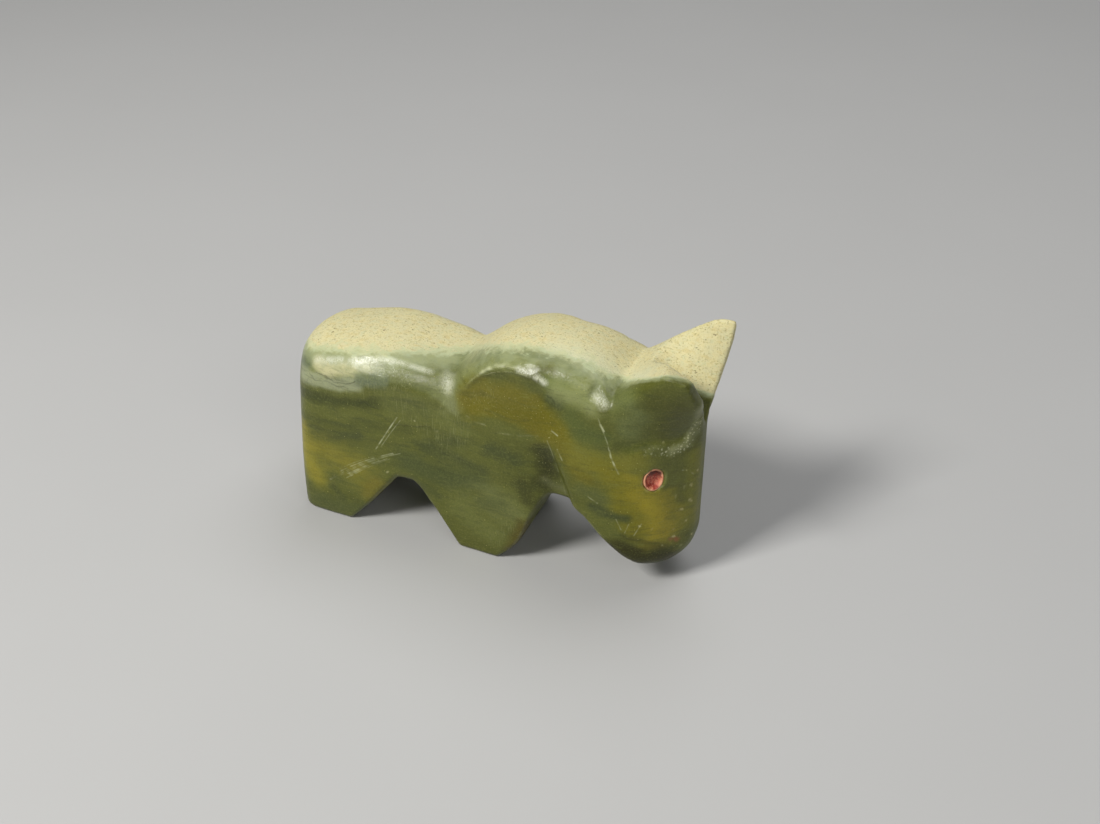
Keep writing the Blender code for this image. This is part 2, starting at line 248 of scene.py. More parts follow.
def half_section(x):
    """(half width, height) points of the section at x, from the middle of the underside round to the back."""
    share = x / LENGTH
    tip = round_off(FACE_END * LENGTH - x, EAR_TIP_EDGE)
    low = underside(share) * HEIGHT + round_off(x, REAR_HEEL_EDGE)
    high = top_line(share) * HEIGHT - round_off(x, REAR_TOP_EDGE) - tip
    rise = crown(share) * HEIGHT

    width = functools.partial(side_width, share)
    low_round = min(low_edge_radius(share), ROUND_LIMIT * width(low))
    high_round = min(top_edge_radius(share), ROUND_LIMIT * width(high))
    side_low = low + low_round
    side_high = high - high_round
    flat = width(low) - low_round
    points = [(flat * i / UNDER_STEPS, low) for i in range(UNDER_STEPS)]
    for i in range(ARC_STEPS):
        angle = 0.5 * math.pi * i / ARC_STEPS
        height = low + low_round * (1 - math.cos(angle))
        points.append((width(height) - low_round * (1 - math.sin(angle)), height))
    for i in range(SIDE_STEPS):
        height = side_low + (side_high - side_low) * i / SIDE_STEPS
        points.append((width(height), height))
    for i in range(ARC_STEPS):
        angle = 0.5 * math.pi * i / ARC_STEPS
        height = side_high + high_round * math.sin(angle)
        points.append((width(height) - high_round * (1 - math.cos(angle)), height))
    flat = width(high) - high_round
    points += [(flat * (1 - i / TOP_STEPS), high) for i in range(TOP_STEPS + 1)]
    widest = width(high)
    return [
        (half, height + (rise * (1 - (half / widest) ** 2) if height > side_high and half < widest else 0))
        for half, height in points
    ]


def stations():
    """Places along the length where a section is taken."""
    quarter = 0.5 * math.pi
    xs = [REAR_TOP_EDGE * (1 - math.cos(quarter * i / REAR_STEPS)) for i in range(REAR_STEPS)]
    marks = [REAR_TOP_EDGE] + [mark * LENGTH for mark in STATION_MARKS]
    for a, b in zip(marks, marks[1:]):
        count = max(1, math.ceil((b - a) / LOFT_SPACING))
        xs += [a + (b - a) * i / count for i in range(count)]
    reach = FACE_END * LENGTH - marks[-1]
    return xs + [marks[-1] + reach * math.sin(quarter * i / FACE_STEPS) for i in range(FACE_STEPS + 1)]


def place(x, y, z):
    """A point of a section in the part's frame, with the lean of the rear corners and of the ears."""
    share = x / LENGTH
    height = z / HEIGHT
    ahead = (1 - FACE_END) * ramp(share, EAR_TIP_ALONG) * ramp(height, EAR_TIP_UP)
    corner = (2 * y / WIDTH) ** 2
    behind = REAR_LEAN * corner * (1 - ramp(share, REAR_ALONG)) * ramp(height, REAR_UP)
    return (x + (ahead + behind - 0.5) * LENGTH, y, z)


def new_object(name, data):
    obj = bpy.data.objects.new(name, data)
    bpy.context.scene.collection.objects.link(obj)
    return obj


def object_from(name, bm):
    """An object of a finished bmesh."""
    mesh = bpy.data.meshes.new(name)
    bm.to_mesh(mesh)
    bm.free()
    return new_object(name, mesh)


def facing_frame(place_at, facing):
    """A frame at a place with its Z pointing that way."""
    return Matrix.Translation(place_at) @ Vector(facing).to_track_quat("Z", "Y").to_matrix().to_4x4()


def make_loft():
    """The ground stone as a fine loft through its sections, in millimetres."""
    bm = bmesh.new()
    rings = []
    for x in stations():
        section = half_section(x)
        right = [bm.verts.new(place(x, -y, z)) for y, z in section]
        left = [bm.verts.new(place(x, y, z)) for y, z in section[1:-1]]
        rings.append((right, [right[0]] + left + [right[-1]]))
    for ring, following in zip(rings, rings[1:]):
        for side, next_side in zip(ring, following):
            for i in range(len(side) - 1):
                bm.faces.new((side[i], side[i + 1], next_side[i + 1], next_side[i]))
    for right, left in (rings[0], rings[-1]):
        for i in range(len(right) - 1):
            corners = [right[i], right[i + 1], left[i + 1], left[i]]
            distinct = [v for k, v in enumerate(corners) if v not in corners[:k]]
            bm.faces.new(distinct)
    bmesh.ops.recalc_face_normals(bm, faces=bm.faces)
    return object_from("stone_loft", bm)


def make_notch_cutter():
    """The cut between the ears: a straight near wall, and a far wall that runs up to the far ear's own edge."""
    start, end = (Vector(((x - 0.5) * LENGTH, NOTCH_OFFSET, z * HEIGHT)) for x, z in NOTCH_LINE)
    turn = NOTCH_REACH / math.tan(NOTCH_WALL)
    sky = 2 * HEIGHT
    bm = bmesh.new()
    rings = []
    for share in NOTCH_SHARES:
        floor = start.lerp(end, share)
        rim = max(float(np.interp(floor.x, *zip(*FAR_RIM))), floor.z + FAR_WALL_RISE)
        section = [
            (NOTCH_OFFSET, floor.z), (FAR_WALL, rim), (FAR_WALL, sky), (-NOTCH_REACH, sky),
            (-NOTCH_REACH, floor.z + turn),
        ]
        rings.append([bm.verts.new((floor.x, y, z)) for y, z in section])
    for ring, following in zip(rings, rings[1:]):
        for k in range(len(ring)):
            j = (k + 1) % len(ring)
            bm.faces.new((ring[k], following[k], following[j], ring[j]))
    bm.faces.new(rings[0])
    bm.faces.new(rings[-1][::-1])
    bmesh.ops.triangulate(bm, faces=bm.faces)
    bmesh.ops.recalc_face_normals(bm, faces=bm.faces)
    return object_from("notch_cutter", bm)


def make_flat_cutter(centre, facing):
    """A block that grinds the near ear down to a flat through this point, facing this way."""
    bm = bmesh.new()
    bmesh.ops.create_cube(bm, size=FLAT_BLOCK, matrix=Matrix.Translation((0, 0, FLAT_BLOCK / 2)))
    block = object_from("flat_cutter", bm)
    block.matrix_world = facing_frame(centre, facing)
    return block


def eye_frame(side):
    """The place of an eye on the skin of the head, with Z pointing out of it; side is -1 right, 1 left."""
    x = EYE_PLACE[0] * LENGTH
    z = EYE_PLACE[1] * HEIGHT
    y = side * side_width(EYE_PLACE[0], z)
    flat = math.cos(EYE_TILT)
    out = (flat * math.sin(EYE_TURN), side * flat * math.cos(EYE_TURN), math.sin(EYE_TILT))
    return facing_frame((x - LENGTH / 2, y, z), out)


def make_drill(side):
    bm = bmesh.new()
    reach = 2 * EYE_HOLE_DEPTH
    bmesh.ops.create_cone(
        bm, cap_ends=True, segments=48, radius1=EYE_RADIUS, radius2=EYE_RADIUS, depth=reach,
        matrix=Matrix.Translation((0, 0, reach / 2 - EYE_HOLE_DEPTH)),
    )
    drill = object_from("drill", bm)
    drill.matrix_world = eye_frame(side) @ Matrix.Diagonal((*EYE_OVAL, 1, 1))
    return drill


def modify(obj, kind, **settings):
    made = obj.modifiers.new(kind.lower(), kind)
    for key, value in settings.items():
        setattr(made, key, value)


def evaluated_mesh(obj):
    """The object's mesh with its modifiers applied."""
    bpy.context.view_layer.update()
    graph = bpy.context.evaluated_depsgraph_get()
    return bpy.data.meshes.new_from_object(obj.evaluated_get(graph))


# Noise and smooth fields on points, in millimetres

NOISE_TABLE = np.random.default_rng(11).uniform(-1.0, 1.0, 1 << 14)
HASH_PRIMES = (73856093, 19349663, 83492791)
SEED_PRIME = 7919
SEED_SHIFT = 31.7


def noise(points, size, seed):
    """Smooth random field from about -1 to 1 with features of that size, or of those sizes along x, y and z."""
    cell = points / np.asarray(size) + SEED_SHIFT * seed
    base = np.floor(cell).astype(np.int64)
    t = cell - base
    t = t * t * t * (t * (6 * t - 15) + 10)
    total = np.zeros(len(points))
    for corner in itertools.product((0, 1), repeat=3):
        key = np.bitwise_xor.reduce((base + corner) * HASH_PRIMES, axis=1) ^ (seed * SEED_PRIME)
        weight = np.prod(np.where(np.array(corner) == 1, t, 1 - t), axis=1)
        total += weight * NOISE_TABLE[key % len(NOISE_TABLE)]
    return total


def waves(points, size, seeds, shares):
    """A random vector at each point, from one noise and one share for each axis."""
    return np.stack([share * noise(points, size, seed) for seed, share in zip(seeds, shares)], axis=1)


def smooth(t):
    t = np.clip(t, 0.0, 1.0)
    return t * t * (3 - 2 * t)


def rise(values, span):
    """0 at the start of a span and 1 at its end; it may run downwards."""
    start, end = span
    return smooth((values - start) / (end - start))


def level(values, table):
    """Heights at these values of a line through the points of a table."""
    return np.interp(values, *zip(*table))


def distance(points, path, flat=(1, 1, 1)):
    """How far each point is from a line through the points of a path, with its axes flattened."""
    points = points * flat
    path = np.array(path) * flat
    nearest = np.full(len(points), np.inf)
    for a, b in zip(path, path[1:]):
        step = b - a
        along = np.clip(((points - a) @ step) / (step @ step), 0.0, 1.0)
        nearest = np.minimum(nearest, np.linalg.norm(points - a - along[:, None] * step, axis=1))
    return nearest


def near_path(points, path, reach, flat=(1, 1, 1)):
    """1 on a line through these points, falling to 0 at the reach."""
    return smooth(1 - distance(points, path, flat) / reach)


def both_sides(points, path, reach, far_share):
    """The share near a path, and by far_share near its like on the far side."""
    return np.maximum(near_path(points, path, reach), far_share * near_path(points * (1, -1, 1), path, reach))


def strongest(shares):
    """The largest of several shares at each point, or 0."""
    return functools.reduce(np.maximum, shares, 0.0)


# Height of the cream layer's lower edge on the near side, its slope across the stone and the depth of its fading,
# each along the length
LAYER_EDGE = [
    (-26, 22.3), (-22, 22.6), (-15, 23.9), (-10, 24.9), (-5, 26), (1, 28.2), (6, 29.2), (11, 28.9), (14, 28), (17, 28),
    (20, 28.7), (22, 29.4), (24, 29.4), (27, 29.2),
]
LAYER_SLOPE = [(-26, -0.3), (-12, -0.3), (-8, -0.5), (12, -0.5), (16, -0.8), (20, -0.85), (24, -0.88), (27, -0.88)]
LAYER_FADE = [(-26, 0.8), (-20, 1), (-15, 1.5), (-8, 1.5), (-3, 1.2), (10, 1.2), (14, 1.2), (18, 0.45), (27, 0.45)]

# The band of pecked stone under the near ear
CREASE_PATH = [
    (19.4, -5.6, 19.9), (20.6, -4.9, 19.9), (21.9, -3.7, 19.4), (23.1, -2.5, 20), (23.6, -2, 21.3), (24.4, -2.3, 23.4),
]

# How rough that band is along the length
CREASE_SHARE = [(19, 0.35), (21.5, 0.7), (23, 1)]


def layer_height(p):
    """How far a point lies above the lower edge of the cream layer, in fading depths."""
    x, y, z = p.T
    across = np.clip(y, -8, 8) + 4
    return (z - level(x, LAYER_EDGE) - level(x, LAYER_SLOPE) * across) / level(x, LAYER_FADE)


def make_skin():
    """The stone's skin: the ground form with its drilled eyes, then the marks of grinding, pecking, scratches and
    chips, and paler convex edges.
    """
    loft = make_loft()
    helpers = [make_notch_cutter(), make_drill(-1), make_drill(1)]
    helpers += [make_flat_cutter(centre, facing) for centre, facing in NEAR_EAR_FLATS]
    for helper in helpers:
        modify(loft, "BOOLEAN", operation="DIFFERENCE", solver="EXACT", object=helper)
    modify(loft, "REMESH", mode="VOXEL", voxel_size=SKIN_VOXEL)
    modify(loft, "SMOOTH", factor=0.5, iterations=SKIN_SMOOTHING)
    mesh = evaluated_mesh(loft)
    for obj in helpers + [loft]:
        bpy.data.objects.remove(obj, do_unlink=True)

    refine(mesh)
    points, normals = points_and_normals(mesh)
    points = cut_facets(points)
    points += normals * form_depth(points)[:, None]
    marks = mark_fields(points)
    points -= normals * marks.pop("depth")[:, None]
    points[:, 2] = np.maximum(points[:, 2], 0.0)

    mesh.vertices.foreach_set("co", (points * MM).astype(np.float32).ravel())
    mesh.shade_smooth()
    mesh.update()
    ear_tips = rise(points[:, 0], LESS_PALE_TIPS_ALONG) * rise(points[:, 2], LESS_PALE_TIPS_UP)
    edge_paling = edge_bend(mesh, points, normals) * (1 - 0.8 * ear_tips)
    fields = {"layer": layer_height(points), "edge_paling": edge_paling}
    add_fields(mesh, fields | marks | surface_fields(points))
    colour = mesh.attributes.new("stone_colour", "FLOAT_COLOR", "POINT")
    colour.data.foreach_set("color", paint(points).astype(np.float32).ravel())
    mesh.name = "stone_skin"
    return new_object("stone_skin", mesh)


def add_fields(mesh, fields):
    """Stores a number for each point of a mesh under each name."""
    for name, values in fields.items():
        attribute = mesh.attributes.new(name, "FLOAT", "POINT")
        attribute.data.foreach_set("value", values.astype(np.float32))


def points_and_normals(mesh):
    """Places and normals of a mesh's points."""
    out = []
    for source, key in ((mesh.vertices, "co"), (mesh.vertex_normals, "vector")):
        flat = np.empty(len(mesh.vertices) * 3, np.float32)
        source.foreach_get(key, flat)
        out.append(flat.reshape(-1, 3).astype(float))
    return out


def refine(mesh):
    """Gives the skin smaller faces where the ridge, scratches and cracks are."""
    bm = bmesh.new()
    bm.from_mesh(mesh)
    for reach, paths in REFINED:
        points = np.array([v.co for v in bm.verts])
        near = np.zeros(len(points), bool)
        for path in paths:
            near |= distance(points, path) < reach
        bm.verts.index_update()
        edges = [e for e in bm.edges if near[e.verts[0].index] and near[e.verts[1].index]]
        bmesh.ops.subdivide_edges(bm, edges=edges, cuts=1, use_grid_fill=True)
    bmesh.ops.triangulate(bm, faces=[f for f in bm.faces if len(f.verts) > 4])
    bm.to_mesh(mesh)
    bm.free()


def edge_bend(mesh, points, normals):
    """How much each point stands out from its neighbours: positive on edges and negative in creases."""
    edges = np.empty(len(mesh.edges) * 2, np.int32)
    mesh.edges.foreach_get("vertices", edges)
    a, b = edges.reshape(-1, 2).T
    sums = functools.partial(np.bincount, minlength=len(points))
    count = sums(a) + sums(b)
    size = np.linalg.norm(points[a] - points[b], axis=1)
    bend = np.zeros(len(points))
    for here, there in ((a, b), (b, a)):
        lean = ((points[here] - points[there]) * normals[here]).sum(1) / size**2
        bend += sums(here, lean)
    bend /= np.maximum(count, 1)
    for _ in range(3):
        total = sums(a, bend[b]) + sums(b, bend[a])
        bend = 0.5 * bend + 0.5 * total / np.maximum(count, 1)
    return bend


# Small flats of the grinding: a point on each, the way it faces, how deep it cuts and how far it reaches
FACETS = [
    ((14.2, -6.1, 25.8), (0.02, -0.67, 0.74), 0.48, (1.7, 2.6, 2.6)),
    ((6.6, -6.3, 26.9), (0.02, -0.7, 0.71), 0.2, (2.6, 2, 2)),
    ((-14.6, -6.4, 22.6), (0, -0.73, 0.68), 0.16, (7, 3, 3)),
    ((-9.2, -5.3, 23.9), (0, -0.66, 0.75), 0.11, (5, 1.6, 1.6)),
    ((-4.3, -5.4, 22.9), (0.02, -0.67, 0.74), 0.22, (1.6, 2, 2)),
]

FACET_SOFTNESS = 2.6

# The shoulder's ridge on each side: its height along the length, and the dish below it and the lip on it
RIDGE = [
    (-3, 20.5), (-2, 23.2), (-0.5, 25.1), (0.9, 26.2), (1.9, 26.8), (3.1, 27.2), (4.3, 27.3), (6.2, 27), (7.8, 26.4),
    (9, 25.4), (10.5, 23),
]
DISH_DEPTH, DISH_START, DISH_END = 0.28, 1.1, 6.1
DISH_ALONG = ((-2.6, -0.1), (10.0, 6.5))
LIP_HEIGHT, LIP_WIDTH = 0.07, 0.24
LIP_ALONG = ((-0.8, 0.4), (6.0, 4.5))

# Where the ears' tips stay smooth, and where their edges are painted less pale
SMOOTH_TIPS_ALONG, SMOOTH_TIPS_UP = (17, 19), (27.5, 29)
LESS_PALE_TIPS_ALONG, LESS_PALE_TIPS_UP = (19, 21), (26, 27.5)


# Scratches and cracks: a line through each, its half width and its strength
RNG = np.random.default_rng(5)
FAN_ACROSS = np.array((0.5, 0, -0.8))


def fan(start, end, count, spread_start, spread_end, width, strength):
    """Scratches side by side that spread out from start to end."""
    out = []
    for i in range(count):
        share = (i + 0.5) / count - 0.5
        a = start + FAN_ACROSS * share * spread_start
        b = end + FAN_ACROSS * share * spread_end
        bow = np.array((0, 0, RNG.uniform(0.35, 0.75)))
        first, last = RNG.uniform(0.0, 0.35), RNG.uniform(0.62, 1.0)
        line = [tuple(a + (b - a) * t + bow * 4 * t * (1 - t)) for t in np.linspace(first, last, 5)]
        out.append((line, width * RNG.uniform(0.7, 1.2), strength * RNG.uniform(0.55, 1.0)))
    return out


SCRATCHES = [
    ([(-10.2, -7.2, 17.4), (-11.7, -7.3, 14.9), (-13.3, -7.4, 12.1)], 0.12, 0.8),
    ([(-9.8, -7.2, 17.1), (-11.3, -7.3, 14.8), (-12.6, -7.4, 12.6)], 0.09, 0.5),
    ([(14.2, -6.6, 23.6), (14.5, -6.6, 22.9), (14.9, -6.7, 22), (15.4, -6.7, 20.6), (15.6, -6.7, 19.6)], 0.11, 0.6),
    ([(15.6, -6.7, 19.8), (15.8, -6.7, 18.9), (16.3, -6.6, 17.7), (16.7, -6.6, 16.8)], 0.16, 0.8),
    ([(14.5, -6.7, 22.9), (14.9, -6.7, 22.2)], 0.2, 0.8),
    ([(0.2, -6.4, 25.7), (0.9, -6.3, 26.25), (1.9, -6.2, 26.8), (3.1, -6.1, 27.2), (4.4, -6.2, 27.25)], 0.27, 1.2),
    ([(8.4, -7, 19.2), (8.9, -6.7, 17.6), (9.2, -6.4, 16), (9.4, -6.1, 14.6)], 0.13, 0.35),
    ([(11.6, -6.7, 10.7), (13.2, -6.7, 9.6), (14.8, -6.7, 7.7)], 0.12, 0.4),
    ([(22.8, -2.7, 16.5), (23.3, -2.2, 16.2), (23.8, -1.6, 15.5)], 0.12, 0.7),
    ([(8.9, -6.8, 20.6), (9.6, -6.8, 20.2)], 0.12, 0.9),
    ([(9.6, -6.9, 18.4), (10.2, -6.9, 17)], 0.12, 0.45),
    ([(13.2, -6.9, 12.9), (14.4, -6.9, 12.2)], 0.14, 0.45),
    ([(-1.4, -6.9, 19.8), (-0.3, -6.9, 19.3), (0.8, -7, 19.3)], 0.22, 0.2),
    ([(2.4, -7.1, 18.7), (5, -7.1, 19), (7.3, -6.9, 19.6)], 0.22, 0.12),
    ([(17.6, -6.4, 8.6), (18, -6.3, 9.9)], 0.1, 0.4),
    ([(18.6, -6.1, 8.3), (19.3, -5.7, 9.9)], 0.1, 0.5),
    ([(16.6, -6.6, 10.4), (17.2, -6.5, 9)], 0.1, 0.4),
    *fan((-10.1, -7.2, 12.3), (-20.6, -7.3, 4.8), 13, 0.7, 2.0, 0.085, 0.7),
    ([(-17, 7.4, 15.5), (-12.6, 7.3, 11.8)], 0.13, 0.6),
    ([(-16.2, 7.4, 15.3), (-12.9, 7.3, 12.6)], 0.1, 0.4),
    ([(2, 7, 20.5), (5.5, 7, 15.2)], 0.12, 0.55),
    ([(16.5, 6.6, 14.5), (19.5, 5.6, 10)], 0.12, 0.5),
]
CRACKS = [
    ([(-14.8, -7.4, 18.2), (-14.3, -7.4, 18.6), (-13.8, -7.4, 18.2), (-13.2, -7.4, 17.9), (-12.4, -7.4, 17.9)],
     0.18, 0.55),
    ([(-10.8, -7.3, 16.3), (-8.5, -7.1, 16.6), (-6, -7, 17)], 0.12, 0.6),
    ([(-20.7, -7.2, 20.9), (-19.3, -7.3, 20.6), (-18.2, -7.3, 20.3), (-16.8, -7.4, 20.4), (-15.3, -7.4, 21)],
     0.13, 0.6),
    ([(-19.4, -7.2, 20.1), (-17.9, -7.3, 19.8), (-16.2, -7.4, 20)], 0.11, 0.5),
    ([(-18.6, -7.1, 21.2), (-17.9, -7.2, 20.6), (-16.9, -7.3, 20.7)], 0.1, 0.5),
    ([(-21.6, -7, 20.3), (-20.6, -7.2, 19.7), (-19.8, -7.3, 19.9)], 0.1, 0.5),
    ([(17, -6.5, 8.3), (18.2, -6.2, 7.7), (19.4, -5.7, 7.5), (21, -4.6, 6.7)], 0.16, 0.4),
    ([(8.3, -6.5, 24.6), (8.9, -6.5, 24)], 0.25, 0.7),
    ([(2, 7, 12.5), (5, 7, 12.9)], 0.14, 0.6),
]
CHIPS = [
    (23.2, -2.3, 16.3), (24.1, -1.2, 15.7), (23.6, -1.9, 14), (23.1, -2.5, 14), (22.4, -3.1, 12.9), (23.7, -1.8, 11.8),
    (24.2, -0.3, 9.5), (23.4, -2.1, 9.1), (23.9, -1.5, 6.6), (23.1, -2.4, 5.5), (22.9, -2.6, 11), (22.4, -3.1, 8.2),
    (20.4, -4.9, 8.9), (21.4, -4, 6.2), (19.2, -5.6, 9.6), (22, -3.4, 17.6), (20.9, -4.4, 20.6), (22.4, -3.1, 7.2),
]
SPECKS = [
    (-1, -6.9, 19.1), (-3.3, -6.9, 14.6), (8.6, -6.9, 19.7), (8, -6.9, 19.1), (15.3, -6.8, 12.5), (18, -6.3, 14.2),
    (19.1, -5.8, 16.8), (17.4, -6.4, 18.6), (-2.1, -6.9, 7.1), (-8, -7.1, 17.4), (-5.2, -6.9, 16.6), (20.2, -5, 14.4),
    (1.2, -7, 21.4), (3.8, -7, 20.4), (11.6, -6.9, 20.9), (-12, -7.3, 9), (5.2, -6.9, 11), (-18, -7.4, 14.8),
]
RED_PIT = (22.5, -2.9, 6.7)
SCRATCH_BREAKS = ((0.45, 61, 0.8), (1.6, 60, 0.4))
SPECK_RADIUS = 0.085
RED_PIT_RADIUS = 0.6

# How far the skin gets smaller faces round some paths, one round after the other
RIDGE_PATH = [(x, -6.4, z) for x, z in RIDGE[1:9]]
LINES = [line for line, width, strength in SCRATCHES + CRACKS]
REFINED = [(0.9, [RIDGE_PATH]), (0.75, LINES), (0.30, LINES)]


def drawn(points, line, width):
    """1 on a line drawn on a side of the stone, falling to 0 at its half width."""
    return near_path(points, line, width, (1, 0.12, 1)) * (points[:, 1] * line[0][1] > 0)


def spot(points, centre, radius):
    """1 at a spot on a side of the stone, falling to 0 at its radius."""
    return smooth(1.5 - 1.5 * np.linalg.norm((points - centre) * (1, 0.3, 1), axis=1) / radius)


def mark_fields(p):
    """Depth and shares of the scratches, cracks, chips, bright specks and the red pit."""
    broken = 0.55 + sum(share * noise(p, size, seed) for size, seed, share in SCRATCH_BREAKS)
    scratch = strongest(strength * broken * drawn(p, line, width) for line, width, strength in SCRATCHES)
    jitter = waves(p, 0.6, (62, 0, 63), (0.16, 0, 0.16)) + waves(p, 0.25, (64, 0, 65), (0.07, 0, 0.07))
    crack = strongest(strength * drawn(p + jitter, line, width) for line, width, strength in CRACKS)
    chip = strongest(
        (0.5 + 0.25 * (i % 3)) * spot(p + jitter, centre, 0.12 + 0.05 * (i % 3)) for i, centre in enumerate(CHIPS)
    )
    speck = strongest(0.8 * spot(p, centre, SPECK_RADIUS) for centre in SPECKS)
    red = spot(p + 2 * jitter, RED_PIT, RED_PIT_RADIUS)
    return {
        "scratch": np.clip(scratch, 0, 1), "crack": crack, "chip": chip, "speck": speck, "red": red,
        "depth": 0.03 * scratch + 0.035 * crack + 0.05 * chip + 0.06 * red,
    }


def cut_facets(p):
    """Flattens the skin at each facet, and at its like on the far side by half as much."""
    for centre, facing, depth, reach in FACETS:
        for side, share in ((1, 1.0), (-1, 0.5)):
            mirror = np.array((1, side, 1))
            n = np.array(facing) * mirror
            n = n / np.linalg.norm(n)
            c = np.array(centre) * mirror
            away = np.linalg.norm((p - c) / reach, axis=1)
            top = ((p[away < 1] - c) @ n).max()
            proud = np.maximum((p - c) @ n - (top - depth * share), 0.0)
            p = p - n * (proud * smooth(FACET_SOFTNESS * (1 - away)))[:, None]
    return p


def form_depth(p):
    """How far the skin stands out from the ground form: waves, the shoulder's dish and lip, and pecked creases."""
    x, y, z = p.T
    depth = 0.05 * noise(p, 6.5, 1) + 0.016 * noise(p, 1.9, 2)
    below = level(x, RIDGE) - z
    on_side = np.where(y < 0, 1.0, 0.6) * rise(np.abs(y), (4.0, 5.5))
    along = rise(x, DISH_ALONG[0]) * rise(x, DISH_ALONG[1])
    dish = rise(below, (0, DISH_START)) * (1 - rise(below, (DISH_START, DISH_END)))
    depth -= DISH_DEPTH * on_side * along * dish
    along = rise(x, LIP_ALONG[0]) * rise(x, LIP_ALONG[1])
    depth += LIP_HEIGHT * on_side * along * np.exp(-((below / LIP_WIDTH) ** 2))
    depth *= 1 - rise(z, SMOOTH_TIPS_UP) * rise(x, SMOOTH_TIPS_ALONG)
    for side in (-1, 1):
        near = p * (1, -side, 1)
        depth += 0.09 * near_path(near, CREASE_PATH, 1.5) * noise(p, 0.55, 5 + side)
        away = np.linalg.norm(near - np.array(eye_frame(-1).translation), axis=1) / 2.2
        depth *= 1 - smooth((1 - away) / 0.4)
    return depth


# Colours of the green stone as display values
GREEN = (87, 91, 34)
DRIFT_GREEN = (95, 99, 40)
LIGHT_GREEN = (108, 113, 56)
OLIVE = (108, 102, 18)
GOLD = (158, 144, 34)
SLATE = (76, 84, 42)
DARK_SLATE = (64, 72, 38)
DEEP = (72, 78, 30)
# Near-black green, used only as painted shade
PAINTED_SHADE = (50, 52, 14)
MIST = (158, 164, 130)
PALE_BAND_SHEEN = (124, 130, 84)
BROWN = (86, 78, 24)

